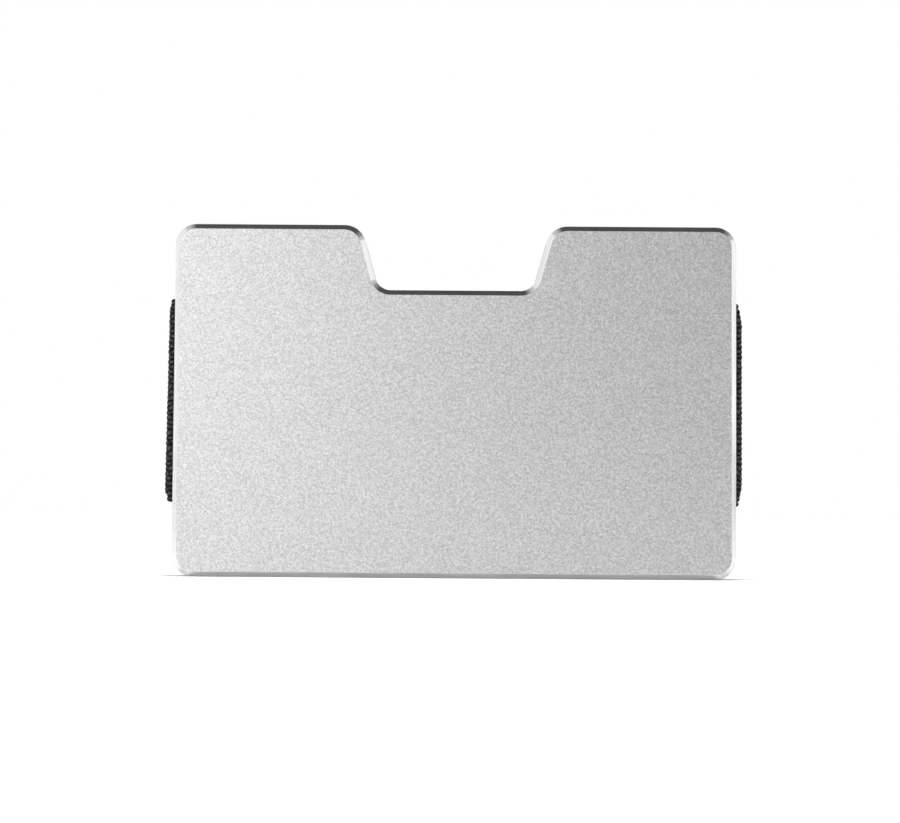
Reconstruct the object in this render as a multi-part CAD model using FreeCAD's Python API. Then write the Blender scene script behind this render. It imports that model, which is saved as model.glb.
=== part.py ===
import FreeCAD
import Part
import math
import os

# Slim metal card wallet: two rigid halves held face to face by an elastic loop.
#
# Each half is a metal plate screwed to a moulded inner plate. The loop lies in a channel
# between the two and crosses to the other half at the left and right ends, so the halves
# can move apart when cards go between them. A spring clip for banknotes is on the back.
#
# Millimetres. +X runs along the long side, +Z is up, the front face looks towards -Y and
# the thumb notch is at the top. The origin is the middle of the footprint.

# Plates
WALLET_WIDTH = 86.0
WALLET_HEIGHT = 54.0
CORNER_RADIUS = 3.2
OUTER_PLATE_THICKNESS = 1.8
OUTER_CHAMFER = 0.8
EDGE_BREAK = 0.15
INNER_PLATE_THICKNESS = 1.8
INNER_PLATE_INSET = 0.15
LEAD_IN_CHAMFER = 0.4
HALVES_GAP = 0.2

# Thumb notch; its half widths are where the sloping flanks meet the top edge and the floor
NOTCH_DEPTH = 10.0
NOTCH_TOP_HALF_WIDTH = 14.6
NOTCH_FLOOR_HALF_WIDTH = 11.8
NOTCH_LIP_RADIUS = 3.3
NOTCH_CORNER_RADIUS = 2.45

# Elastic loop and its channel
BAND_WIDTH = 31.0
BAND_THICKNESS = 1.0
BAND_SIDE_BULGE = 1.3
CHANNEL_DEPTH = 1.1
CHANNEL_SIDE_CLEARANCE = 0.15

# M2 screws with a six-lobe recess
SCREW_RADIUS = 1.0
TAPPED_HOLE_RADIUS = 1.025
CLEARANCE_HOLE_RADIUS = 1.1
SCREW_TIP_CHAMFER = 0.2
LOBE_OUTER_RADIUS = 0.875
LOBE_INNER_RADIUS = 0.635
LOBE_TIP_RADIUS = 0.13
LOBE_COUNT = 6

# Countersunk screws that hold each inner plate to its outer plate
PLATE_SCREW_X = 37.0
PLATE_SCREW_EDGE_DISTANCE = 6.0
PLATE_SCREW_LENGTH = 3.0
PLATE_SCREW_HEAD_RADIUS = 1.9
PLATE_SCREW_SUNK = 0.1
COUNTERSINK_CLEARANCE = 0.03
PLATE_SCREW_RECESS_DEPTH = 0.55
BLIND_HOLE_DEPTH = 1.4

# Banknote clip, one strip of spring steel
CLIP_THICKNESS = 0.6
CLIP_WIDTH = 20.0
CLIP_BASE_START_X = -38.0
CLIP_BEND_X = -27.0
CLIP_STEP_ANGLE = math.radians(45)
CLIP_BEND_RADIUS = 1.2
CLIP_RISE = 1.6
CLIP_SLOPE_START_X = -16.0
CLIP_SLOPE_BEND_RADIUS = 30.0
CLIP_CONTACT_X = 14.5
CLIP_CONTACT_GAP = 0.1
CLIP_CONTACT_BEND_RADIUS = 8.0
CLIP_TIP_X = 20.0
CLIP_TIP_LIFT = 1.1
CLIP_BASE_CORNER_RADIUS = 2.5
CLIP_TIP_CORNER_RADIUS = 4.0

# Low-head screws that hold the clip
CLIP_SCREW_X = -33.0
CLIP_SCREW_SPACING = 10.0
CLIP_SCREW_HEAD_RADIUS = 1.8
CLIP_SCREW_HEAD_HEIGHT = 0.8
CLIP_SCREW_HEAD_ROUNDING = 0.3
CLIP_SCREW_RECESS_DEPTH = 0.5
CLIP_SCREW_REACH = 1.3

# Levels that follow from the sizes above
HALF_THICKNESS = OUTER_PLATE_THICKNESS + INNER_PLATE_THICKNESS
STACK_THICKNESS = 2 * HALF_THICKNESS + HALVES_GAP
TOTAL_DEPTH = STACK_THICKNESS + CLIP_RISE + CLIP_THICKNESS
FRONT_FACE_Y = -TOTAL_DEPTH / 2
BACK_FACE_Y = FRONT_FACE_Y + STACK_THICKNESS
CENTRE_Z = WALLET_HEIGHT / 2
BAND_DEPTH = OUTER_PLATE_THICKNESS + (CHANNEL_DEPTH - BAND_THICKNESS) / 2

VERY_SHORT = 1e-6


def vector(x, y, z):
    return FreeCAD.Vector(x, y, z)


def rounded_path(points, radii, closed):
    """Return the wire through points, with each corner rounded to its radius."""
    count = len(points)
    arrivals = []
    departures = []
    arcs = []
    for index, point in enumerate(points):
        radius = radii[index]
        if radius == 0:
            arrivals.append(point)
            departures.append(point)
            arcs.append(None)
            continue
        back = (points[index - 1] - point).normalize()
        ahead = (points[(index + 1) % count] - point).normalize()
        half_angle = back.getAngle(ahead) / 2
        arrival = point + back * (radius / math.tan(half_angle))
        departure = point + ahead * (radius / math.tan(half_angle))
        to_centre = (back + ahead).normalize()
        middle = point + to_centre * (radius / math.sin(half_angle) - radius)
        arrivals.append(arrival)
        departures.append(departure)
        arcs.append(Part.Arc(arrival, middle, departure).toShape())
    edges = []
    for index in range(count):
        if arcs[index] is not None:
            edges.append(arcs[index])
        is_last = index == count - 1
        start = departures[index]
        end = arrivals[(index + 1) % count]
        if (closed or not is_last) and (end - start).Length > VERY_SHORT:
            edges.append(Part.makeLine(start, end))
    return Part.Wire(edges)


def extrude_in_depth(wire, depth):
    """Return the solid that a closed wire in an XZ plane sweeps along +Y."""
    return Part.Face(wire).extrude(vector(0, depth, 0))


def cylinder_in_depth(radius, length, x, start, z):
    return Part.makeCylinder(radius, length, vector(x, start, z), vector(0, 1, 0))


def cone_in_depth(start_radius, end_radius, length, x, start, z):
    return Part.makeCone(start_radius, end_radius, length, vector(x, start, z), vector(0, 1, 0))


def edges_at_depth(shape, depth):
    """Return the edges of shape that lie wholly in the plane Y = depth."""
    chosen = []
    for edge in shape.Edges:
        box = edge.BoundBox
        if abs(box.YMin - depth) < VERY_SHORT and abs(box.YMax - depth) < VERY_SHORT:
            chosen.append(edge)
    return chosen


def in_front_half(shape):
    """Place a shape whose depth is counted inwards from the front face."""
    return shape.translated(vector(0, FRONT_FACE_Y, 0))


def in_back_half(shape):
    """Place a shape whose depth is counted inwards from the back face."""
    mirrored = shape.mirror(vector(0, 0, 0), vector(0, 1, 0))
    return mirrored.translated(vector(0, BACK_FACE_Y, 0))


def on_back_face(shape):
    """Place a shape whose depth is counted outwards from the back face."""
    return shape.translated(vector(0, BACK_FACE_Y, 0))


def plate_outline(depth):
    """Return the wallet's outline, a rounded rectangle with the thumb notch in its top."""
    side = WALLET_WIDTH / 2
    floor = WALLET_HEIGHT - NOTCH_DEPTH
    corners = [
        (-side, 0, CORNER_RADIUS),
        (side, 0, CORNER_RADIUS),
        (side, WALLET_HEIGHT, CORNER_RADIUS),
        (NOTCH_TOP_HALF_WIDTH, WALLET_HEIGHT, NOTCH_LIP_RADIUS),
        (NOTCH_FLOOR_HALF_WIDTH, floor, NOTCH_CORNER_RADIUS),
        (-NOTCH_FLOOR_HALF_WIDTH, floor, NOTCH_CORNER_RADIUS),
        (-NOTCH_TOP_HALF_WIDTH, WALLET_HEIGHT, NOTCH_LIP_RADIUS),
        (-side, WALLET_HEIGHT, CORNER_RADIUS),
    ]
    points = [vector(x, depth, z) for x, z, radius in corners]
    radii = [radius for x, z, radius in corners]
    return rounded_path(points, radii, closed=True)


def plate_screw_places():
    """Return the (x, z) of the four screws of one half."""
    low = PLATE_SCREW_EDGE_DISTANCE
    high = WALLET_HEIGHT - PLATE_SCREW_EDGE_DISTANCE
    return [(x, z) for z in (low, high) for x in (-PLATE_SCREW_X, PLATE_SCREW_X)]


def clip_screw_heights():
    return [CENTRE_Z - CLIP_SCREW_SPACING / 2, CENTRE_Z + CLIP_SCREW_SPACING / 2]


def outer_plate():
    """Metal plate with a polished chamfer outside and blind tapped holes inside."""
    plate = extrude_in_depth(plate_outline(0), OUTER_PLATE_THICKNESS)
    plate = plate.makeChamfer(OUTER_CHAMFER, edges_at_depth(plate, 0))
    plate = plate.makeChamfer(EDGE_BREAK, edges_at_depth(plate, OUTER_PLATE_THICKNESS))
    hole_start = OUTER_PLATE_THICKNESS - BLIND_HOLE_DEPTH
    for x, z in plate_screw_places():
        plate = plate.cut(cylinder_in_depth(TAPPED_HOLE_RADIUS, BLIND_HOLE_DEPTH, x, hole_start, z))
    return plate


def outer_plate_with_clip_holes():
    plate = outer_plate()
    for z in clip_screw_heights():
        hole = cylinder_in_depth(TAPPED_HOLE_RADIUS, BLIND_HOLE_DEPTH, CLIP_SCREW_X, 0, z)
        plate = plate.cut(hole)
    return plate


def band_channel():
    """Space for the elastic, open at both ends of the inner plate."""
    height = BAND_WIDTH + 2 * CHANNEL_SIDE_CLEARANCE
    corner = vector(-WALLET_WIDTH / 2, OUTER_PLATE_THICKNESS, CENTRE_Z - height / 2)
    return Part.makeBox(WALLET_WIDTH, CHANNEL_DEPTH, height, corner)


def countersunk_hole(x, z):
    """Clearance hole for a plate screw, widest at the inner face."""
    mouth_radius = PLATE_SCREW_HEAD_RADIUS + PLATE_SCREW_SUNK + COUNTERSINK_CLEARANCE
    cone_depth = mouth_radius - CLEARANCE_HOLE_RADIUS
    cone_start = HALF_THICKNESS - cone_depth
    straight_length = cone_start - OUTER_PLATE_THICKNESS
    straight = cylinder_in_depth(
        CLEARANCE_HOLE_RADIUS, straight_length, x, OUTER_PLATE_THICKNESS, z)
    cone = cone_in_depth(CLEARANCE_HOLE_RADIUS, mouth_radius, cone_depth, x, cone_start, z)
    return straight.fuse(cone)


def inner_plate():
    """Moulded plate with the band's channel outside and a lead-in for cards inside."""
    outline = plate_outline(OUTER_PLATE_THICKNESS).makeOffset2D(-INNER_PLATE_INSET)
    plate = extrude_in_depth(outline, INNER_PLATE_THICKNESS)
    plate = plate.makeChamfer(LEAD_IN_CHAMFER, edges_at_depth(plate, HALF_THICKNESS))
    plate = plate.cut(band_channel())
    for x, z in plate_screw_places():
        plate = plate.cut(countersunk_hole(x, z))
    return plate


def six_lobe_recess(depth, length):
    """Return the driver recess, from tangent arcs, on the Y axis from depth inwards."""
    tip_centre_radius = LOBE_OUTER_RADIUS - LOBE_TIP_RADIUS
    half_pitch = math.pi / LOBE_COUNT
    across = tip_centre_radius * math.cos(half_pitch)
    distance_squared = (tip_centre_radius ** 2 + LOBE_INNER_RADIUS ** 2
                        - 2 * LOBE_INNER_RADIUS * across)
    valley_radius = ((distance_squared - LOBE_TIP_RADIUS ** 2)
                     / (2 * (across + LOBE_TIP_RADIUS - LOBE_INNER_RADIUS)))
    valley_centre_radius = LOBE_INNER_RADIUS + valley_radius

    def polar(radius, angle):
        return vector(radius * math.cos(angle), depth, radius * math.sin(angle))

    def tangent_point(tip_angle, valley_angle):
        tip_centre = polar(tip_centre_radius, tip_angle)
        towards = (polar(valley_centre_radius, valley_angle) - tip_centre).normalize()
        return tip_centre + towards * LOBE_TIP_RADIUS

    edges = []
    for index in range(LOBE_COUNT):
        tip = index * 2 * half_pitch
        valley = tip + half_pitch
        next_tip = tip + 2 * half_pitch
        before = tangent_point(tip, tip - half_pitch)
        after = tangent_point(tip, valley)
        following = tangent_point(next_tip, valley)
        edges.append(Part.Arc(before, polar(LOBE_OUTER_RADIUS, tip), after).toShape())
        edges.append(Part.Arc(after, polar(LOBE_INNER_RADIUS, valley), following).toShape())
    return extrude_in_depth(Part.Wire(edges), length)


def plate_screw():
    """Countersunk screw along Y, its head at the inner face of a half."""
    head_top = HALF_THICKNESS - PLATE_SCREW_SUNK
    head_height = PLATE_SCREW_HEAD_RADIUS - SCREW_RADIUS
    head_base = head_top - head_height
    tip = head_top - PLATE_SCREW_LENGTH
    shank_start = tip + SCREW_TIP_CHAMFER
    tip_cone = cone_in_depth(
        SCREW_RADIUS - SCREW_TIP_CHAMFER, SCREW_RADIUS, SCREW_TIP_CHAMFER, 0, tip, 0)
    shank = cylinder_in_depth(SCREW_RADIUS, head_base - shank_start, 0, shank_start, 0)
    head = cone_in_depth(SCREW_RADIUS, PLATE_SCREW_HEAD_RADIUS, head_height, 0, head_base, 0)
    recess = six_lobe_recess(head_top - PLATE_SCREW_RECESS_DEPTH, PLATE_SCREW_RECESS_DEPTH)
    return tip_cone.fuse([shank, head]).removeSplitter().cut(recess)


def clip_screw():
    """Low-head screw along Y, its depth counted outwards from the back face."""
    head_top = CLIP_THICKNESS + CLIP_SCREW_HEAD_HEIGHT
    tip = -CLIP_SCREW_REACH
    shank_start = tip + SCREW_TIP_CHAMFER
    tip_cone = cone_in_depth(
        SCREW_RADIUS - SCREW_TIP_CHAMFER, SCREW_RADIUS, SCREW_TIP_CHAMFER, 0, tip, 0)
    shank = cylinder_in_depth(SCREW_RADIUS, CLIP_THICKNESS - shank_start, 0, shank_start, 0)
    head = cylinder_in_depth(
        CLIP_SCREW_HEAD_RADIUS, CLIP_SCREW_HEAD_HEIGHT, 0, CLIP_THICKNESS, 0)
    head = head.makeFillet(CLIP_SCREW_HEAD_ROUNDING, edges_at_depth(head, head_top))
    recess = six_lobe_recess(head_top - CLIP_SCREW_RECESS_DEPTH, CLIP_SCREW_RECESS_DEPTH)
    return tip_cone.fuse([shank, head]).removeSplitter().cut(recess)


def bent_strip(points, radii, thickness, width):
    """Sweep a flat section, thin in depth and wide in Z, along a path that starts along +X."""
    path = rounded_path(points, radii, closed=False)
    start = points[0]
    low = start.y - thickness / 2
    high = start.y + thickness / 2
    bottom = CENTRE_Z - width / 2
    top = CENTRE_Z + width / 2
    section = Part.makePolygon([
        vector(start.x, low, bottom),
        vector(start.x, high, bottom),
        vector(start.x, high, top),
        vector(start.x, low, top),
        vector(start.x, low, bottom),
    ])
    return path.makePipeShell([section], True, True)


def band_run():
    """The straight stretch of the elastic inside one half's channel."""
    corner = vector(-WALLET_WIDTH / 2, BAND_DEPTH, CENTRE_Z - BAND_WIDTH / 2)
    return Part.makeBox(WALLET_WIDTH, BAND_THICKNESS, BAND_WIDTH, corner)


def right_band_wrap():
    """The stretch of the elastic that goes round the right end, from run to run."""
    end_x = WALLET_WIDTH / 2
    bend_radius = BAND_SIDE_BULGE - BAND_THICKNESS / 2
    outermost_x = end_x + bend_radius
    front_y = FRONT_FACE_Y + BAND_DEPTH + BAND_THICKNESS / 2
    back_y = BACK_FACE_Y - BAND_DEPTH - BAND_THICKNESS / 2
    points = [
        vector(end_x, front_y, CENTRE_Z),
        vector(outermost_x, front_y, CENTRE_Z),
        vector(outermost_x, back_y, CENTRE_Z),
        vector(end_x, back_y, CENTRE_Z),
    ]
    return bent_strip(points, [0, bend_radius, bend_radius, 0], BAND_THICKNESS, BAND_WIDTH)


def clip_face(start_x, end_x, start_radius, end_radius):
    """Return the clip's outline seen from behind, between two X positions."""
    low = CENTRE_Z - CLIP_WIDTH / 2
    high = CENTRE_Z + CLIP_WIDTH / 2
    points = [
        vector(start_x, 0, low),
        vector(end_x, 0, low),
        vector(end_x, 0, high),
        vector(start_x, 0, high),
    ]
    return rounded_path(points, [start_radius, end_radius, end_radius, start_radius], closed=True)


def clip_base():
    """Flat foot of the clip, with two screw holes."""
    outline = clip_face(CLIP_BASE_START_X, CLIP_BEND_X, CLIP_BASE_CORNER_RADIUS, 0)
    base = extrude_in_depth(outline, CLIP_THICKNESS)
    for z in clip_screw_heights():
        hole = cylinder_in_depth(CLEARANCE_HOLE_RADIUS, CLIP_THICKNESS, CLIP_SCREW_X, 0, z)
        base = base.cut(hole)
    return base


def clip_arm():
    """Springing arm: it steps up, slopes back to its contact line and flares at the tip."""
    foot_depth = CLIP_THICKNESS / 2
    top_depth = foot_depth + CLIP_RISE
    contact_depth = foot_depth + CLIP_CONTACT_GAP
    step_start_x = CLIP_BEND_X + CLIP_BEND_RADIUS * math.tan(CLIP_STEP_ANGLE / 2)
    step_end_x = step_start_x + CLIP_RISE / math.tan(CLIP_STEP_ANGLE)
    points = [
        vector(CLIP_BEND_X, foot_depth, CENTRE_Z),
        vector(step_start_x, foot_depth, CENTRE_Z),
        vector(step_end_x, top_depth, CENTRE_Z),
        vector(CLIP_SLOPE_START_X, top_depth, CENTRE_Z),
        vector(CLIP_CONTACT_X, contact_depth, CENTRE_Z),
        vector(CLIP_TIP_X, contact_depth + CLIP_TIP_LIFT, CENTRE_Z),
    ]
    radii = [
        0,
        CLIP_BEND_RADIUS,
        CLIP_BEND_RADIUS,
        CLIP_SLOPE_BEND_RADIUS,
        CLIP_CONTACT_BEND_RADIUS,
        0,
    ]
    strip = bent_strip(points, radii, CLIP_THICKNESS, CLIP_WIDTH)
    outline = clip_face(CLIP_BEND_X - 1, CLIP_TIP_X, 0, CLIP_TIP_CORNER_RADIUS)
    trim = extrude_in_depth(outline, CLIP_RISE + 2 * CLIP_THICKNESS)
    return strip.common(trim)


def make_nodes():
    """Return every piece of the wallet, by node name."""
    wrap = right_band_wrap()
    nodes = {
        "front_plate": in_front_half(outer_plate()),
        "front_inner_plate": in_front_half(inner_plate()),
        "back_plate": in_back_half(outer_plate_with_clip_holes()),
        "back_inner_plate": in_back_half(inner_plate()),
        "band_front_run": in_front_half(band_run()),
        "band_back_run": in_back_half(band_run()),
        "band_wrap_right": wrap,
        "band_wrap_left": wrap.mirror(vector(0, 0, 0), vector(1, 0, 0)),
        "clip_base": on_back_face(clip_base()),
        "clip_arm": on_back_face(clip_arm()),
    }
    for number, (x, z) in enumerate(plate_screw_places(), start=1):
        screw = plate_screw().translated(vector(x, 0, z))
        nodes["front_screw_%d" % number] = in_front_half(screw)
        nodes["back_screw_%d" % number] = in_back_half(screw)
    for number, z in enumerate(clip_screw_heights(), start=1):
        screw = clip_screw().translated(vector(CLIP_SCREW_X, 0, z))
        nodes["clip_screw_%d" % number] = on_back_face(screw)
    return nodes


def export(nodes):
    """Write one STEP file for each piece, each of them a single valid solid."""
    os.makedirs("parts", exist_ok=True)
    for name, shape in sorted(nodes.items()):
        if len(shape.Solids) != 1 or not shape.isValid():
            raise ValueError("%s is not one valid solid" % name)
        solid = shape.Solids[0]
        solid.exportStep(os.path.join("parts", name + ".step"))
        print("%-18s %9.2f mm3" % (name, solid.Volume))


export(make_nodes())
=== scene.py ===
import math

import bmesh
import bpy
from mathutils import Matrix, Vector, noise


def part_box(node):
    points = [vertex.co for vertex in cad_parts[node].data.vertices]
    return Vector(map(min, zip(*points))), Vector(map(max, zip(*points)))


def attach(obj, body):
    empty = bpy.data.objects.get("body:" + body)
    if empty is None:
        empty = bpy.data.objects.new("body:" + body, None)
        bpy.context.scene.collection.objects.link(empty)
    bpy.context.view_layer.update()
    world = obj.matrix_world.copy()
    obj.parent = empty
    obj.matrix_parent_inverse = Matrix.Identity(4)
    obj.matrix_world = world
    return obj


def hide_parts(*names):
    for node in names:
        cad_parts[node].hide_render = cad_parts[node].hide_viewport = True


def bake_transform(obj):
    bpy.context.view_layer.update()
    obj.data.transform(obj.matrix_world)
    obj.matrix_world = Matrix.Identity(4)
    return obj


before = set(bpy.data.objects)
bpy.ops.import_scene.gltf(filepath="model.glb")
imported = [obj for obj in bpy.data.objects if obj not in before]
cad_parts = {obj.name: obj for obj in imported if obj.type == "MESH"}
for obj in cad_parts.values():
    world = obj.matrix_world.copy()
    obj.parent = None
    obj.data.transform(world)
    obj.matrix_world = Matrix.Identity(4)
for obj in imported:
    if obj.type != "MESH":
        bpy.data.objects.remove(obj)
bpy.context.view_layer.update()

# Everything below is in metres, in the CAD model's frame: +X along the wallet, +Z up, the front
# face towards -Y. Places come from the CAD nodes' boxes; the sizes here are the shapes' own.
MM = 0.001

# Boxes of the nodes that the visible pieces are built on
FRONT_LOW, FRONT_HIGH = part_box("front_plate")
_, BACK_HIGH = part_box("back_plate")
FRONT_RUN_LOW, FRONT_RUN_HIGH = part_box("band_front_run")
WRAP_LOW, WRAP_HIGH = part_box("band_wrap_right")
CLIP_BASE_LOW, CLIP_BASE_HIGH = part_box("clip_base")
_, CLIP_ARM_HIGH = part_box("clip_arm")
CENTRE_Z = (FRONT_LOW.z + FRONT_HIGH.z) / 2

# Plates: the same outline as the CAD plates, with finely rounded edges
CORNER_RADIUS = 3.2 * MM
NOTCH_DEPTH = 10 * MM
NOTCH_TOP_HALF_WIDTH = 14.6 * MM
NOTCH_FLOOR_HALF_WIDTH = 11.8 * MM
NOTCH_LIP_RADIUS = 3.3 * MM
NOTCH_CORNER_RADIUS = 2.45 * MM
OUTER_CHAMFER = 0.8 * MM
EDGE_BREAK = 0.15 * MM
EDGE_ROUNDING = 0.05 * MM
EDGE_ROUNDING_STEPS = 3
CORNER_STEPS = 16
HOLE_SEGMENTS = 32
FLAT_FACE_WEIGHT = 100
BLIND_HOLE_DEPTH = 1.4 * MM
TAPPED_HOLE_RADIUS = 1.025 * MM

# Elastic
BAND_THICKNESS = FRONT_RUN_HIGH.y - FRONT_RUN_LOW.y
BAND_HALF_WIDTH = (FRONT_RUN_HIGH.z - FRONT_RUN_LOW.z) / 2
BAND_MIDDLE_Y = (WRAP_LOW.y + WRAP_HIGH.y) / 2
BAND_HALF_SPAN = (WRAP_HIGH.y - WRAP_LOW.y - BAND_THICKNESS) / 2
RIB_COUNT = 40
STEPS_PER_RIB = 8
RIB_HEIGHT = 0.16 * MM
CROWN_SHARE = 0.6
WEAVE_SHARE = 0.22
UNEVEN_SHARE = 0.4
WEAVE_PERIOD = 0.8 * MM
WRAP_STEPS = 26
WEAVE_MAP = "weave"
TANGENT_STEP = 0.01
CHANNEL_REACH = 1.6 * MM
CHANNEL_STEPS = 10
WRAP_ROUNDNESS = 2.6
SELVEDGE_ROUNDING = 0.42 * MM
SELVEDGE_GROOVE = 0.12 * MM
SELVEDGE_GROOVE_HALF_WIDTH = 0.16 * MM
LEFT_SELVEDGE_WIDTH = 1.15 * MM
RIGHT_SELVEDGE_WIDTH = 0.75 * MM
WRAP_FLARE = 0.18 * MM
RIGHT_WRAP_DROP = 0.22 * MM

# How far the loop stands out past the plates' ends: in its middle and at its woven edges, how
# much less that gets for each metre upwards, and where the change from edge to middle lies
LEFT_FULL_REACH = 1.42 * MM
LEFT_FULL_SLOPE = 0.013
LEFT_EDGE_REACH = 1.14 * MM
LEFT_EDGE_SLOPE = 0.007
LEFT_RAMP_START = 0.9 * MM
LEFT_RAMP_END = 1.5 * MM
RIGHT_FULL_REACH = 1.3 * MM
RIGHT_EDGE_REACH = 0.64 * MM
RIGHT_RAMP_START = -0.8 * MM
RIGHT_RAMP_END = 3.6 * MM

# Clip
CLIP_THICKNESS = CLIP_BASE_HIGH.y - CLIP_BASE_LOW.y
CLIP_RISE = CLIP_ARM_HIGH.y - CLIP_BASE_HIGH.y
CLIP_STEP_ANGLE = math.radians(45)
CLIP_BEND_RADIUS = 1.2 * MM
CLIP_SLOPE_START_X = -16 * MM
CLIP_SLOPE_BEND_RADIUS = 30 * MM
CLIP_CONTACT_X = 14.5 * MM
CLIP_CONTACT_GAP = 0.1 * MM
CLIP_CONTACT_BEND_RADIUS = 8 * MM
CLIP_TIP_LIFT = 1.1 * MM
CLIP_BASE_CORNER_RADIUS = 2.5 * MM
CLIP_TIP_CORNER_RADIUS = 4 * MM
CLIP_EDGE_ROUNDING = 0.16 * MM
CLIP_EDGE_STEPS = 4
CLIP_BEND_STEPS = 10
CLIP_HOLE_RADIUS = 1.1 * MM
CLIP_SCREWS = ("clip_screw_1", "clip_screw_2")

# Studio: the floor reaches the horizon, and the lights aim at the wallet
FLOOR_HALF_SIZE = 200.0
FLOOR_TONE = 0.72
AMBIENT_TONE = 0.075
LIGHT_TARGET = (0, 0.05, 0.03)
PANEL_WIDTH = 0.8

# Camera
CAMERA_PLACE = (0, -0.3048, 0.01026)
CAMERA_PITCH = math.radians(2.886)
CAMERA_YAW = math.radians(-0.14)
CAMERA_ROLL = math.radians(0.417)
LENS_MM = 78.8
SENSOR_WIDTH_MM = 36


# ---------------------------------------------------------------- outlines and meshes

def rounded_corner(before, corner, after, radius, steps):
    """Return (points, centre) of the arc that rounds a corner of a 2-D path."""
    back = (before - corner).normalized()
    ahead = (after - corner).normalized()
    half_angle = back.angle(ahead) / 2
    centre = corner + (back + ahead).normalized() * (radius / math.sin(half_angle))
    setback = radius / math.tan(half_angle)
    start = corner + back * setback - centre
    end = corner + ahead * setback - centre
    sweep = start.angle_signed(end)
    points = []
    for step in range(steps + 1):
        turned = start.copy()
        turned.rotate(Matrix.Rotation(-sweep * step / steps, 2))
        points.append(centre + turned)
    return points, centre


def rounded_outline(corners, steps):
    """Return (point, outward normal) samples of a closed anticlockwise outline."""
    samples = []
    count = len(corners)
    for index, (x, z, radius) in enumerate(corners):
        corner = Vector((x, z))
        before = Vector(corners[index - 1][:2])
        after = Vector(corners[(index + 1) % count][:2])
        along = corner - before
        onward = after - corner
        convex = along.x * onward.y - along.y * onward.x > 0
        points, centre = rounded_corner(before, corner, after, radius, steps)
        for point in points:
            outward = (point - centre).normalized()
            samples.append((point, outward if convex else -outward))
    return samples


def rounded_profile(points, radius, steps):
    """Return an open 2-D polyline with its inner corners rounded."""
    path = [Vector(points[0])]
    for before, corner, after in zip(points, points[1:], points[2:]):
        arc, _ = rounded_corner(Vector(before), Vector(corner), Vector(after), radius, steps)
        path.extend(arc)
    path.append(Vector(points[-1]))
    return path


def new_object(name, mesh):
    made = bpy.data.objects.new(name, mesh)
    bpy.context.scene.collection.objects.link(made)
    return made


def object_from_bmesh(name, built, materials):
    """Turn a bmesh into a smooth-shaded object with outward normals."""
    bmesh.ops.recalc_face_normals(built, faces=built.faces)
    mesh = bpy.data.meshes.new(name)
    built.to_mesh(mesh)
    built.free()
    for polygon in mesh.polygons:
        polygon.use_smooth = True
    for material in materials:
        mesh.materials.append(material)
    return new_object(name, mesh)


def add_loft(built, rings, material_of_step):
    """Join rings of points into a closed shell, capped at its first and last ring."""
    rows = [[built.verts.new(point) for point in ring] for ring in rings]
    count = len(rows[0])
    for step, (row, following) in enumerate(zip(rows, rows[1:])):
        for index in range(count):
            ahead = (index + 1) % count
            face = built.faces.new(
                (row[index], row[ahead], following[ahead], following[index]))
            face.material_index = material_of_step(step)
    built.faces.new(rows[0])
    built.faces.new(rows[-1])


def weight_normals(made):
    """Let large faces keep their own normals, so that flats stay flat beside fine roundings."""
    modifier = made.modifiers.new("weighted_normals", "WEIGHTED_NORMAL")
    modifier.mode = "FACE_AREA"
    modifier.weight = FLAT_FACE_WEIGHT
    modifier.keep_sharp = True


def cylinder_cutter(x, z, low_y, high_y, radius):
    """Return a temporary cylinder along Y."""
    built = bmesh.new()
    turn = Matrix.Rotation(math.radians(90), 4, "X")
    place = Matrix.Translation((x, (low_y + high_y) / 2, z))
    bmesh.ops.create_cone(
        built, cap_ends=True, segments=HOLE_SEGMENTS, radius1=radius, radius2=radius,
        depth=high_y - low_y, matrix=place @ turn)
    return object_from_bmesh("cutter", built, [])


def cut_away(made, cutters):
    """Subtract the cutters from made, for good, and delete them."""
    for cutter in cutters:
        modifier = made.modifiers.new("cut", "BOOLEAN")
        modifier.operation = "DIFFERENCE"
        modifier.solver = "EXACT"
        modifier.object = cutter
    graph = bpy.context.evaluated_depsgraph_get()
    mesh = bpy.data.meshes.new_from_object(made.evaluated_get(graph))
    made.modifiers.clear()
    made.data = mesh
    for cutter in cutters:
        bpy.data.objects.remove(cutter)


# ---------------------------------------------------------------- plates

def wallet_outline():
    """The wallet's outline seen from the front: a rounded rectangle with the thumb notch."""
    floor = FRONT_HIGH.z - NOTCH_DEPTH
    return rounded_outline([
        (FRONT_LOW.x, FRONT_LOW.z, CORNER_RADIUS),
        (FRONT_HIGH.x, FRONT_LOW.z, CORNER_RADIUS),
        (FRONT_HIGH.x, FRONT_HIGH.z, CORNER_RADIUS),
        (NOTCH_TOP_HALF_WIDTH, FRONT_HIGH.z, NOTCH_LIP_RADIUS),
        (NOTCH_FLOOR_HALF_WIDTH, floor, NOTCH_CORNER_RADIUS),
        (-NOTCH_FLOOR_HALF_WIDTH, floor, NOTCH_CORNER_RADIUS),
        (-NOTCH_TOP_HALF_WIDTH, FRONT_HIGH.z, NOTCH_LIP_RADIUS),
        (FRONT_LOW.x, FRONT_HIGH.z, CORNER_RADIUS),
    ], CORNER_STEPS)


def plate_screw_places():
    """Return the (x, z) of the screws, from the CAD screws' boxes."""
    places = []
    for number in range(1, 5):
        low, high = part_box("front_screw_%d" % number)
        places.append(((low.x + high.x) / 2, (low.z + high.z) / 2))
    return places


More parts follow.
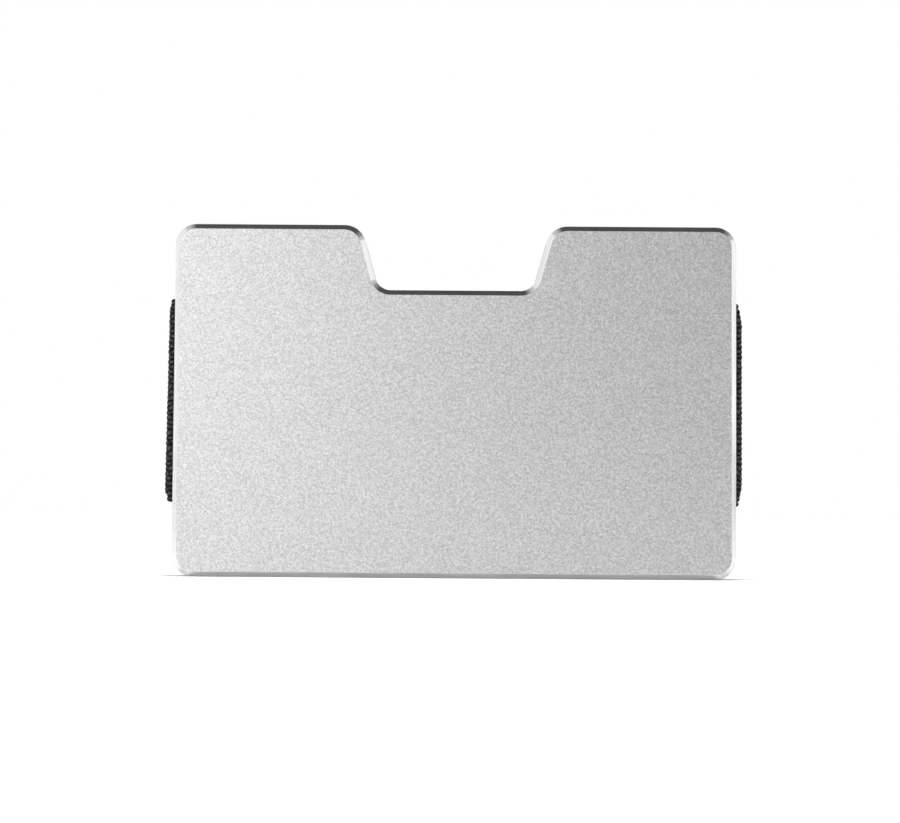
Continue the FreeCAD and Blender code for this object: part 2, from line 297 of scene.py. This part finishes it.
def outer_plate(name, face_y, inwards, materials, outside_screws=()):
    """Build one metal plate: face_y is its outer face and inwards is the sign of its depth.

    It has blind holes for its plate screws inside, and for outside_screws in its outer face.
    """
    thickness = FRONT_HIGH.y - FRONT_LOW.y
    profile = rounded_profile([
        (3 * EDGE_BREAK, thickness),
        (EDGE_BREAK, thickness),
        (0, thickness - EDGE_BREAK),
        (0, OUTER_CHAMFER),
        (OUTER_CHAMFER, 0),
        (OUTER_CHAMFER + 3 * EDGE_BREAK, 0),
    ], EDGE_ROUNDING, EDGE_ROUNDING_STEPS)
    samples = wallet_outline()
    rings = []
    for inset, depth in profile:
        rings.append([
            (point.x - normal.x * inset, face_y + inwards * depth, point.y - normal.y * inset)
            for point, normal in samples])

    def material_of_step(step):
        start, end = profile[step], profile[step + 1]
        middle_depth = (start.y + end.y) / 2
        middle_inset = (start.x + end.x) / 2
        on_chamfer = middle_depth < OUTER_CHAMFER and middle_inset < OUTER_CHAMFER
        return 1 if on_chamfer else 0

    built = bmesh.new()
    add_loft(built, rings, material_of_step)
    plate = object_from_bmesh(name, built, materials)
    inner_y = face_y + inwards * thickness
    overshoot = inwards * MM
    hole_end = inner_y - inwards * BLIND_HOLE_DEPTH
    low_y, high_y = sorted((hole_end, inner_y + overshoot))
    cutters = [
        cylinder_cutter(x, z, low_y, high_y, TAPPED_HOLE_RADIUS)
        for x, z in plate_screw_places()]
    for screw in outside_screws:
        low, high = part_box(screw)
        x, z = (low.x + high.x) / 2, (low.z + high.z) / 2
        low_y, high_y = sorted((face_y - overshoot, face_y + inwards * BLIND_HOLE_DEPTH))
        cutters.append(cylinder_cutter(x, z, low_y, high_y, TAPPED_HOLE_RADIUS))
    cut_away(plate, cutters)
    weight_normals(plate)
    return plate


# ---------------------------------------------------------------- elastic

def smooth_ramp(low, high, value):
    share = min(1.0, max(0.0, (value - low) / (high - low)))
    return share * share * (3 - 2 * share)


def side_protrusion(side, height):
    """How far the loop stands out past the plate's end, at a height above the band's middle.

    The woven edges are pulled in, more gently on the right than on the left, and the left side
    hangs out a little more towards the bottom.
    """
    from_end = BAND_HALF_WIDTH - abs(height)
    if side < 0:
        full = LEFT_FULL_REACH - LEFT_FULL_SLOPE * height
        edge = LEFT_EDGE_REACH - LEFT_EDGE_SLOPE * height
        return edge + (full - edge) * smooth_ramp(LEFT_RAMP_START, LEFT_RAMP_END, from_end)
    share = smooth_ramp(RIGHT_RAMP_START, RIGHT_RAMP_END, from_end)
    return RIGHT_EDGE_REACH + (RIGHT_FULL_REACH - RIGHT_EDGE_REACH) * share


def rib_relief(side, height, along):
    """Depth of the woven surface under its highest point."""
    place = (height + BAND_HALF_WIDTH) / (2 * BAND_HALF_WIDTH) * RIB_COUNT
    rib = min(RIB_COUNT - 1, int(place))
    across = 2 * (place - rib) - 1
    crown = math.sqrt(max(0.0, 1 - across * across))
    weave = math.cos(2 * math.pi * along / WEAVE_PERIOD + math.pi * rib)
    uneven = noise.noise(Vector((rib * 1.7, along / WEAVE_PERIOD, 3.1)))
    relief = RIB_HEIGHT * (
        1 - crown * (CROWN_SHARE + WEAVE_SHARE * weave + UNEVEN_SHARE * uneven))
    from_end = BAND_HALF_WIDTH - abs(height)
    if from_end < SELVEDGE_ROUNDING:
        slope = 1 - from_end / SELVEDGE_ROUNDING
        relief += SELVEDGE_ROUNDING * (1 - math.sqrt(1 - slope * slope))
    selvedge = LEFT_SELVEDGE_WIDTH if side < 0 else RIGHT_SELVEDGE_WIDTH
    from_groove = (from_end - selvedge) / SELVEDGE_GROOVE_HALF_WIDTH
    return relief + SELVEDGE_GROOVE * math.exp(-from_groove * from_groove)


def wrap_centre(side, height, angle):
    """Point of the loop's middle surface on its way round a side, at -90 to 90 degrees."""
    reach = side_protrusion(side, height) - BAND_THICKNESS / 2
    across = abs(math.cos(angle)) ** (2 / WRAP_ROUNDNESS)
    along = math.copysign(abs(math.sin(angle)) ** (2 / WRAP_ROUNDNESS), math.sin(angle))
    x = side * (FRONT_HIGH.x + reach * across)
    flare = WRAP_FLARE * height / BAND_HALF_WIDTH
    drop = RIGHT_WRAP_DROP if side > 0 else 0
    z = CENTRE_Z + height + (flare - drop) * math.cos(angle)
    return Vector((x, BAND_MIDDLE_Y + BAND_HALF_SPAN * along, z))


def wrap_angles(back):
    """Angles of the rows from the middle of the wrap to where it enters the channel."""
    quarter = math.pi / 2 if back else -math.pi / 2
    return [quarter * step / WRAP_STEPS for step in range(WRAP_STEPS + 1)]


def wrap_rows(side, back, heights):
    """Rows of (distance, points) from the middle of the wrap into the channel.

    The distance is counted along the loop from the middle of the wrap, and the points are pairs
    of one on the outside and one on the inside of the loop.
    """
    rows = []
    travelled = 0.0
    previous = None
    for angle in wrap_angles(back):
        row = []
        centre_here = wrap_centre(side, 0.0, angle)
        if previous is not None:
            travelled += (centre_here - previous).length
        previous = centre_here
        for height in heights:
            centre = wrap_centre(side, height, angle)
            before = wrap_centre(side, height, max(-math.pi / 2, angle - TANGENT_STEP))
            after = wrap_centre(side, height, min(math.pi / 2, angle + TANGENT_STEP))
            tangent = (after - before).normalized()
            outward = Vector((tangent.y, -tangent.x, 0)) * side
            outer = centre + outward * (BAND_THICKNESS / 2 - rib_relief(side, height, travelled))
            row.append((outer, centre - outward * BAND_THICKNESS / 2))
        rows.append((travelled, row))
    run_y = BAND_MIDDLE_Y + (BAND_HALF_SPAN if back else -BAND_HALF_SPAN)
    facing = 1 if back else -1
    for step in range(1, CHANNEL_STEPS + 1):
        inside = CHANNEL_REACH * step / CHANNEL_STEPS
        x = side * (FRONT_HIGH.x - inside)
        row = []
        for height in heights:
            z = CENTRE_Z + height
            relief = rib_relief(side, height, travelled + inside)
            outer = Vector((x, run_y + facing * (BAND_THICKNESS / 2 - relief), z))
            row.append((outer, Vector((x, run_y - facing * BAND_THICKNESS / 2, z))))
        rows.append((travelled + inside, row))
    return rows


def elastic_half(name, back, material):
    """Build the front or back half of the loop: a run in the channel and half of each wrap.

    Its UV map counts ribs across the band and weave periods along it.
    """
    columns = RIB_COUNT * STEPS_PER_RIB
    heights = [
        BAND_HALF_WIDTH * (2 * column / columns - 1) for column in range(columns + 1)]
    rows = wrap_rows(-1, back, heights) + wrap_rows(1, back, heights)[::-1]
    built = bmesh.new()
    weave_place = {}
    outer, inner = [], []
    for distance, row in rows:
        outer_row = [built.verts.new(pair[0]) for pair in row]
        inner_pair = [built.verts.new(pair[1]) for pair in (row[0], row[-1])]
        for column, vertex in enumerate(outer_row):
            weave_place[vertex] = (column / STEPS_PER_RIB, distance / WEAVE_PERIOD)
        weave_place[inner_pair[0]] = (0, distance / WEAVE_PERIOD)
        weave_place[inner_pair[1]] = (RIB_COUNT, distance / WEAVE_PERIOD)
        outer.append(outer_row)
        inner.append(inner_pair)
    for row, following in zip(outer, outer[1:]):
        for column in range(columns):
            built.faces.new(
                (row[column], row[column + 1], following[column + 1], following[column]))
    for index in range(len(rows) - 1):
        lower, upper = inner[index]
        next_lower, next_upper = inner[index + 1]
        built.faces.new((lower, next_lower, next_upper, upper))
        built.faces.new((outer[index][0], outer[index + 1][0], next_lower, lower))
        built.faces.new((outer[index][-1], upper, next_upper, outer[index + 1][-1]))
    for index in (0, -1):
        built.faces.new(outer[index] + inner[index][::-1])
    layer = built.loops.layers.uv.new(WEAVE_MAP)
    for face in built.faces:
        for loop in face.loops:
            loop[layer].uv = weave_place[loop.vert]
    return object_from_bmesh(name, built, [material])


# ---------------------------------------------------------------- clip

def clip_path():
    """Return (x, depth) samples of the clip's middle surface, depth counted off the back face."""
    foot = CLIP_THICKNESS / 2
    top = foot + CLIP_RISE
    contact = foot + CLIP_CONTACT_GAP
    bend_x = CLIP_BASE_HIGH.x
    step_start = bend_x + CLIP_BEND_RADIUS * math.tan(CLIP_STEP_ANGLE / 2)
    step_end = step_start + CLIP_RISE / math.tan(CLIP_STEP_ANGLE)
    points = [
        (CLIP_BASE_LOW.x, foot),
        (step_start, foot),
        (step_end, top),
        (CLIP_SLOPE_START_X, top),
        (CLIP_CONTACT_X, contact),
        (CLIP_ARM_HIGH.x, contact + CLIP_TIP_LIFT),
    ]
    radii = [
        CLIP_BEND_RADIUS,
        CLIP_BEND_RADIUS,
        CLIP_SLOPE_BEND_RADIUS,
        CLIP_CONTACT_BEND_RADIUS,
    ]
    path = [Vector(points[0])]
    for index, radius in enumerate(radii, start=1):
        before, corner, after = (Vector(point) for point in points[index - 1:index + 2])
        arc, _ = rounded_corner(before, corner, after, radius, CLIP_BEND_STEPS)
        path.extend(arc)
    path.append(Vector(points[-1]))
    return path


def path_lengths(path):
    """Return the distance along the path at each of its points."""
    lengths = [0.0]
    for start, end in zip(path, path[1:]):
        lengths.append(lengths[-1] + (end - start).length)
    return lengths


def place_on_path(path, lengths, distance):
    """Return (point, normal) of the path at a distance along it."""
    distance = min(max(distance, 0.0), lengths[-1])
    index = 0
    while index < len(lengths) - 2 and lengths[index + 1] < distance:
        index += 1
    start, end = path[index], path[index + 1]
    share = (distance - lengths[index]) / max(1e-12, lengths[index + 1] - lengths[index])
    along = (end - start).normalized()
    return start.lerp(end, share), Vector((-along.y, along.x))


def money_clip(name, material):
    """Build the clip flat, with rounded edges and its two holes, then bend it along its path."""
    path = clip_path()
    lengths = path_lengths(path)
    total = lengths[-1]
    low_z, high_z = CLIP_BASE_LOW.z, CLIP_BASE_HIGH.z
    samples = rounded_outline([
        (0, low_z, CLIP_BASE_CORNER_RADIUS),
        (total, low_z, CLIP_TIP_CORNER_RADIUS),
        (total, high_z, CLIP_TIP_CORNER_RADIUS),
        (0, high_z, CLIP_BASE_CORNER_RADIUS),
    ], CORNER_STEPS)
    half = CLIP_THICKNESS / 2
    profile = rounded_profile([
        (2 * CLIP_EDGE_ROUNDING, -half),
        (0, -half),
        (0, half),
        (2 * CLIP_EDGE_ROUNDING, half),
    ], CLIP_EDGE_ROUNDING, CLIP_EDGE_STEPS)
    rings = []
    for inset, depth in profile:
        rings.append([
            (point.x - normal.x * inset, depth, point.y - normal.y * inset)
            for point, normal in samples])
    built = bmesh.new()
    add_loft(built, rings, lambda step: 0)
    for distance in lengths[1:-1]:
        everything = built.verts[:] + built.edges[:] + built.faces[:]
        bmesh.ops.bisect_plane(
            built, geom=everything, dist=1e-7, plane_co=(distance, 0, 0), plane_no=(1, 0, 0))
    clip = object_from_bmesh(name, built, [material])
    cutters = []
    for screw in CLIP_SCREWS:
        low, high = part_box(screw)
        x = (low.x + high.x) / 2 - CLIP_BASE_LOW.x
        cutters.append(cylinder_cutter(x, (low.z + high.z) / 2, -MM, MM, CLIP_HOLE_RADIUS))
    cut_away(clip, cutters)
    for vertex in clip.data.vertices:
        point, normal = place_on_path(path, lengths, vertex.co.x)
        depth = vertex.co.y
        vertex.co.x = point.x + normal.x * depth
        vertex.co.y = CLIP_BASE_LOW.y + point.y + normal.y * depth
    weight_normals(clip)
    return clip


# ---------------------------------------------------------------- materials

# Where most of a noise texture's values lie
NOISE_RANGE = (0.3, 0.7)

# Weave of the elastic: how far a rib wanders and how far the stitches shift from one rib to the
# next, as shares of a rib and of a weave period; the tone of the painted shade between stitches;
# the fibres' share
RIB_WANDER = 0.3
TWILL_STEP = 0.34
STITCH_GAP_SHADE = 0.35
FIBRE_RANGE = (-0.4, 0.4)


def new_material(name):
    """Return (material, nodes, links, principled shader)."""
    material = bpy.data.materials.new(name)
    material.use_nodes = True
    tree = material.node_tree
    return material, tree.nodes, tree.links, tree.nodes["Principled BSDF"]


def object_coordinates(nodes, links, scale):
    """Return a socket with the object's own position in metres, times scale on each axis."""
    coordinates = nodes.new("ShaderNodeTexCoord")
    mapping = nodes.new("ShaderNodeMapping")
    mapping.inputs["Scale"].default_value = scale
    links.new(coordinates.outputs["Object"], mapping.inputs["Vector"])
    return mapping.outputs["Vector"]


def noise_value(nodes, links, vector, scale, detail, roughness=0.5):
    texture = nodes.new("ShaderNodeTexNoise")
    texture.inputs["Scale"].default_value = scale
    texture.inputs["Detail"].default_value = detail
    texture.inputs["Roughness"].default_value = roughness
    links.new(vector, texture.inputs["Vector"])
    return texture.outputs["Fac"]


def remap(nodes, links, value, old, new):
    """Return value scaled from the range old to the range new."""
    node = nodes.new("ShaderNodeMapRange")
    for socket, number in (
            ("From Min", old[0]), ("From Max", old[1]), ("To Min", new[0]), ("To Max", new[1])):
        node.inputs[socket].default_value = number
    links.new(value, node.inputs["Value"])
    return node.outputs["Result"]


def colour_between(nodes, links, value, dark, light):
    ramp = nodes.new("ShaderNodeValToRGB")
    ramp.color_ramp.elements[0].color = (*dark, 1)
    ramp.color_ramp.elements[1].color = (*light, 1)
    links.new(value, ramp.inputs["Fac"])
    return ramp.outputs["Color"]


def add_bump(nodes, links, shader, height, distance, strength):
    bump = nodes.new("ShaderNodeBump")
    bump.inputs["Distance"].default_value = distance
    bump.inputs["Strength"].default_value = strength
    links.new(height, bump.inputs["Height"])
    links.new(bump.outputs["Normal"], shader.inputs["Normal"])


def blasted_metal():
    """Bead-blasted, clear-anodised aluminium: an even, fine, pale grain."""
    material, nodes, links, shader = new_material("blasted_aluminium")
    shader.inputs["Metallic"].default_value = 1.0
    place = object_coordinates(nodes, links, (1, 1, 1))
    grain = noise_value(nodes, links, place, scale=3900, detail=1.5, roughness=0.6)
    tone = remap(nodes, links, grain, (0.28, 0.72), (0.0, 1.0))
    links.new(
        colour_between(nodes, links, tone, (0.43, 0.43, 0.43), (0.75, 0.75, 0.75)),
        shader.inputs["Base Color"])
    links.new(
        remap(nodes, links, grain, NOISE_RANGE, (0.43, 0.47)), shader.inputs["Roughness"])
    add_bump(nodes, links, shader, grain, distance=0.02 * MM, strength=0.4)
    return material


def polished_metal():
    """Diamond-cut chamfer: bright, with faint lines left by the cutter along the edge."""
    material, nodes, links, shader = new_material("polished_aluminium")
    shader.inputs["Metallic"].default_value = 1.0
    place = object_coordinates(nodes, links, (0.03, 1, 0.03))
    marks = noise_value(nodes, links, place, scale=4200, detail=2.0)
    tone = remap(nodes, links, marks, NOISE_RANGE, (0.0, 1.0))
    links.new(
        colour_between(nodes, links, tone, (0.82, 0.82, 0.82), (0.96, 0.96, 0.96)),
        shader.inputs["Base Color"])
    links.new(
        remap(nodes, links, marks, NOISE_RANGE, (0.17, 0.23)), shader.inputs["Roughness"])
    add_bump(nodes, links, shader, marks, distance=0.01 * MM, strength=0.4)
    return material


def moulded_plastic():
    """Black moulded plastic with a fine spark-eroded texture."""
    material, nodes, links, shader = new_material("moulded_black")
    shader.inputs["Specular IOR Level"].default_value = 0.35
    place = object_coordinates(nodes, links, (1, 1, 1))
    texture = noise_value(nodes, links, place, scale=3000, detail=3.0)
    links.new(
        colour_between(nodes, links, texture, (0.008, 0.008, 0.0085), (0.02, 0.02, 0.021)),
        shader.inputs["Base Color"])
    links.new(
        remap(nodes, links, texture, NOISE_RANGE, (0.45, 0.62)), shader.inputs["Roughness"])
    add_bump(nodes, links, shader, texture, distance=0.03 * MM, strength=0.6)
    return material


def calculate(nodes, links, operation, first, second):
    """Return first (a socket) combined with second (a socket or a number)."""
    node = nodes.new("ShaderNodeMath")
    node.operation = operation
    links.new(first, node.inputs[0])
    if isinstance(second, float):
        node.inputs[1].default_value = second
    else:
        links.new(second, node.inputs[1])
    return node.outputs[0]


def half_wave(nodes, links, turns):
    """Return a cosine of turns, scaled to 0..1 and largest at whole turns."""
    angle = calculate(nodes, links, "MULTIPLY", turns, 2 * math.pi)
    node = nodes.new("ShaderNodeMath")
    node.operation = "COSINE"
    links.new(angle, node.inputs[0])
    return remap(nodes, links, node.outputs[0], (-1.0, 1.0), (0.0, 1.0))


def woven_elastic():
    """Black yarn over rubber cores: ribs along the band, with stitches set off rib by rib."""
    material, nodes, links, shader = new_material("woven_elastic")
    shader.inputs["Specular IOR Level"].default_value = 0.05
    weave_map = nodes.new("ShaderNodeUVMap")
    weave_map.uv_map = WEAVE_MAP
    split = nodes.new("ShaderNodeSeparateXYZ")
    links.new(weave_map.outputs["UV"], split.inputs["Vector"])
    place = object_coordinates(nodes, links, (1, 1, 1))
    wander = noise_value(nodes, links, place, scale=700, detail=1.0)
    wander = remap(nodes, links, wander, (0.25, 0.75), (-RIB_WANDER, RIB_WANDER))
    ribs = calculate(nodes, links, "ADD", split.outputs["X"], wander)
    periods = split.outputs["Y"]
    # Painted highlight and painted shade: the yarn's colour is lighter on the rib crowns and the
    # stitches and darker in the gaps between ribs and between stitches
    crown = half_wave(nodes, links, calculate(nodes, links, "ADD", ribs, 0.5))
    rib_number = nodes.new("ShaderNodeMath")
    rib_number.operation = "FLOOR"
    links.new(ribs, rib_number.inputs[0])
    twill = calculate(nodes, links, "MULTIPLY", rib_number.outputs[0], TWILL_STEP)
    stitch = half_wave(nodes, links, calculate(nodes, links, "ADD", periods, twill))
    stitch = remap(nodes, links, stitch, (0.0, 1.0), (STITCH_GAP_SHADE, 1.0))
    weave = calculate(nodes, links, "MULTIPLY", crown, stitch)
    fibres = noise_value(nodes, links, place, scale=3300, detail=3.0, roughness=0.7)
    fibres = remap(nodes, links, fibres, NOISE_RANGE, FIBRE_RANGE)
    surface = calculate(nodes, links, "ADD", weave, fibres)
    # The base colour carries the weave's painted highlight and painted shade, with the fibres'
    # random speckle on top
    links.new(
        colour_between(
            nodes, links, remap(nodes, links, surface, (0.0, 1.2), (0.0, 1.0)),
            (0.002, 0.002, 0.002), (0.085, 0.085, 0.087)),
        shader.inputs["Base Color"])
    links.new(
        remap(nodes, links, fibres, FIBRE_RANGE, (0.65, 0.9)), shader.inputs["Roughness"])
    add_bump(nodes, links, shader, surface, distance=0.1 * MM, strength=0.8)
    return material


def brushed_steel():
    """Spring steel, brushed along its length."""
    material, nodes, links, shader = new_material("brushed_spring_steel")
    shader.inputs["Metallic"].default_value = 1.0
    shader.inputs["Anisotropic"].default_value = 0.5
    place = object_coordinates(nodes, links, (0.02, 1, 1))
    lines = noise_value(nodes, links, place, scale=8000, detail=3.0, roughness=0.7)
    tone = remap(nodes, links, lines, NOISE_RANGE, (0.0, 1.0))
    links.new(
        colour_between(nodes, links, tone, (0.4, 0.396, 0.392), (0.57, 0.565, 0.56)),
        shader.inputs["Base Color"])
    links.new(
        remap(nodes, links, lines, NOISE_RANGE, (0.24, 0.38)), shader.inputs["Roughness"])
    add_bump(nodes, links, shader, lines, distance=0.006 * MM, strength=0.5)
    return material


def screw_steel():
    """Machined stainless steel."""
    material, nodes, links, shader = new_material("stainless_screw")
    shader.inputs["Metallic"].default_value = 1.0
    place = object_coordinates(nodes, links, (1, 1, 1))
    marks = noise_value(nodes, links, place, scale=5000, detail=2.0)
    links.new(
        colour_between(nodes, links, marks, (0.5, 0.5, 0.49), (0.64, 0.64, 0.63)),
        shader.inputs["Base Color"])
    links.new(
        remap(nodes, links, marks, NOISE_RANGE, (0.22, 0.34)), shader.inputs["Roughness"])
    add_bump(nodes, links, shader, marks, distance=0.004 * MM, strength=0.4)
    return material


# ---------------------------------------------------------------- the wallet

def finish_cad_node(name, material):
    """Give a CAD node its material."""
    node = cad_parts[name]
    node.data.materials.clear()
    node.data.materials.append(material)


def build_wallet():
    metal = [blasted_metal(), polished_metal()]
    plastic = moulded_plastic()
    yarn = woven_elastic()
    spring = brushed_steel()
    stainless = screw_steel()

    front = outer_plate("front_plate_finish", FRONT_LOW.y, 1, metal)
    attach(front, "front_half")
    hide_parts("front_plate")

    back = outer_plate("back_plate_finish", BACK_HIGH.y, -1, metal, CLIP_SCREWS)
    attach(back, "back_half")
    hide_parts("back_plate")

    elastic_front = elastic_half("elastic_front", False, yarn)
    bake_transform(elastic_front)
    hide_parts("band_front_run", "band_wrap_left", "band_wrap_right")

    elastic_back = elastic_half("elastic_back", True, yarn)
    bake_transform(elastic_back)
    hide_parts("band_back_run", "band_wrap_left", "band_wrap_right")

    clip = money_clip("money_clip", spring)
    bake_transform(clip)
    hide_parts("clip_base", "clip_arm")

    for node in ("front_inner_plate", "back_inner_plate"):
        finish_cad_node(node, plastic)
    for number in range(1, 5):
        finish_cad_node("front_screw_%d" % number, stainless)
        finish_cad_node("back_screw_%d" % number, stainless)
    for number in range(1, 3):
        finish_cad_node("clip_screw_%d" % number, stainless)


# ---------------------------------------------------------------- floor, light and camera

def studio_floor():
    """A plain pale floor under the object, wide enough to meet the white background."""
    built = bmesh.new()
    bmesh.ops.create_grid(built, x_segments=1, y_segments=1, size=FLOOR_HALF_SIZE)
    floor = object_from_bmesh("floor", built, [])
    material, _, _, shader = new_material("floor")
    shader.inputs["Base Color"].default_value = (FLOOR_TONE, FLOOR_TONE, FLOOR_TONE, 1)
    shader.inputs["Roughness"].default_value = 0.9
    shader.inputs["Specular IOR Level"].default_value = 0.0
    floor.data.materials.append(material)


def area_light(name, place, target, width, height, power):
    """A soft panel that the camera itself doesn't see, though the metal reflects it."""
    light = bpy.data.lights.new(name, "AREA")
    light.shape = "RECTANGLE"
    light.size = width
    light.size_y = height
    light.energy = power
    made = new_object(name, light)
    made.location = place
    direction = Vector(target) - Vector(place)
    made.rotation_euler = direction.to_track_quat("-Z", "Y").to_euler()
    made.visible_camera = False


def studio_world():
    """Dim and even for the object, plain white behind it for the camera."""
    world = bpy.data.worlds.new("studio")
    bpy.context.scene.world = world
    world.use_nodes = True
    nodes, links = world.node_tree.nodes, world.node_tree.links
    paths = nodes.new("ShaderNodeLightPath")
    mix = nodes.new("ShaderNodeMix")
    mix.data_type = "RGBA"
    mix.inputs["A"].default_value = (AMBIENT_TONE, AMBIENT_TONE, AMBIENT_TONE, 1)
    mix.inputs["B"].default_value = (1, 1, 1, 1)
    links.new(paths.outputs["Is Camera Ray"], mix.inputs["Factor"])
    links.new(mix.outputs["Result"], nodes["Background"].inputs["Color"])


def sun_light(name, direction, strength, angle):
    """A distant light for the floor and the matt parts, kept out of the metal's reflections."""
    light = bpy.data.lights.new(name, "SUN")
    light.energy = strength
    light.angle = math.radians(angle)
    made = new_object(name, light)
    made.rotation_euler = Vector(direction).to_track_quat("-Z", "Y").to_euler()
    made.visible_glossy = False


def studio_lights():
    """Suns for the floor and the matt parts, and panels that the metal reflects.

    Each side has a main panel and dimmer strips above it, so that the polished edges darken by
    steps as they turn upwards.
    """
    sun_light("overhead", (0, 0, -1), strength=1.9, angle=4)
    sun_light("left_fill", (1, 0, -0.7), strength=2.25, angle=10)
    sun_light("right_fill", (-1, 0, -0.7), strength=2.25, angle=10)
    area_light("left_panel", (-0.654, 0.05, 0.349), LIGHT_TARGET,
               width=PANEL_WIDTH, height=0.71, power=1.52)
    area_light("left_panel_middle", (-0.412, 0.05, 0.716), LIGHT_TARGET,
               width=PANEL_WIDTH, height=0.2, power=0.25)
    area_light("left_panel_top", (-0.267, 0.05, 0.784), LIGHT_TARGET,
               width=PANEL_WIDTH, height=0.13, power=0.08)
    area_light("right_panel", (0.599, 0.05, 0.19), LIGHT_TARGET,
               width=PANEL_WIDTH, height=0.33, power=0.79)
    area_light("right_panel_middle", (0.498, 0.05, 0.399), LIGHT_TARGET,
               width=PANEL_WIDTH, height=0.14, power=0.16)
    area_light("right_panel_top", (0.403, 0.05, 0.501), LIGHT_TARGET,
               width=PANEL_WIDTH, height=0.14, power=0.056)
    area_light("left_softbox", (-0.2, -0.42, 0.25), (-0.2, 0, 0.25),
               width=0.24, height=0.5, power=0.84)
    area_light("front_fill", (0.05, -0.5, 0.38), LIGHT_TARGET,
               width=0.5, height=0.25, power=0.42)


def camera():
    """A long lens low in front of the wallet, looking slightly up."""
    data = bpy.data.cameras.new("camera")
    data.lens = LENS_MM
    data.sensor_width = SENSOR_WIDTH_MM
    data.clip_start = 0.005
    data.clip_end = 20
    made = new_object("camera", data)
    forward = Vector((
        math.sin(CAMERA_YAW) * math.cos(CAMERA_PITCH),
        math.cos(CAMERA_YAW) * math.cos(CAMERA_PITCH),
        math.sin(CAMERA_PITCH)))
    look = forward.to_track_quat("-Z", "Y").to_matrix().to_4x4()
    made.matrix_world = (
        Matrix.Translation(CAMERA_PLACE) @ look @ Matrix.Rotation(CAMERA_ROLL, 4, "Z"))
    bpy.context.scene.camera = made


bpy.context.scene.view_settings.view_transform = "Standard"
camera()
build_wallet()
studio_floor()
studio_world()
studio_lights()
